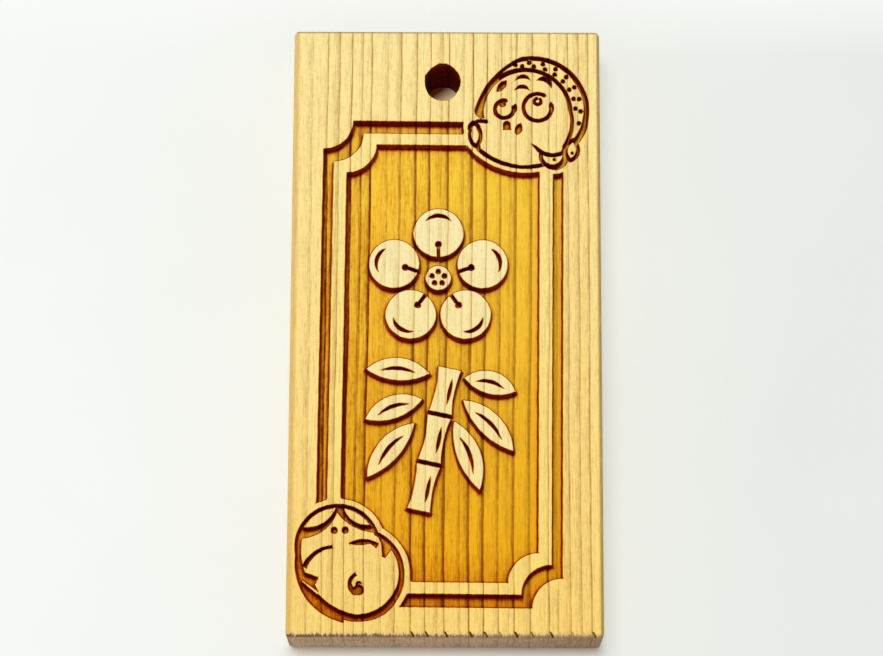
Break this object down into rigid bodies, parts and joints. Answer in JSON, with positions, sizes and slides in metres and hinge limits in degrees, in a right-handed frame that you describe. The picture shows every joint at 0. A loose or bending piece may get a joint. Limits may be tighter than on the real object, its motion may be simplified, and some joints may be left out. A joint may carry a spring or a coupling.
{
  "type": "wooden talisman plaque",
  "caption": "Small straight-grained wooden talisman tablet with a cord hole, a sunk ground framed by a scooped-corner band, let-in folk masks and a plum and bamboo relief.",
  "frame": {"origin": "centre of the back face, which the plaque lies on", "axes": "+Z out of the carved face, +Y along the grain towards the cord hole, +X to the right seen from the front"},
  "size_m": [0.03, 0.06, 0.007],
  "materials": {
    "board_wood": "bare planed softwood, scorched in the sunk ground",
    "band_wood": "bare planed softwood with scorched edges",
    "mask_wood": "bare planed softwood with scorched lines",
    "relief_wood": "bare planed softwood, paler, with scorched edges"
  },
  "bodies": {
    "root": {"board": "board_wood", "band_upper_left": "band_wood", "band_lower_right": "band_wood", "upper_mask_face": "mask_wood", "upper_mask_scarf": "mask_wood", "upper_mask_mouth": "mask_wood", "upper_mask_knot": "mask_wood", "upper_mask_tail": "mask_wood", "lower_mask_face": "mask_wood", "lower_mask_hair_left": "mask_wood", "lower_mask_hair_right": "mask_wood", "blossom_centre": "relief_wood", "blossom_petal_1": "relief_wood", "blossom_petal_2": "relief_wood", "blossom_petal_3": "relief_wood", "blossom_petal_4": "relief_wood", "blossom_petal_5": "relief_wood", "bamboo_culm_lower": "relief_wood", "bamboo_culm_middle": "relief_wood", "bamboo_culm_upper": "relief_wood", "bamboo_leaf_1": "relief_wood", "bamboo_leaf_2": "relief_wood", "bamboo_leaf_3": "relief_wood", "bamboo_leaf_4": "relief_wood", "bamboo_leaf_5": "relief_wood", "bamboo_leaf_6": "relief_wood"}
  },
  "joints": []
}
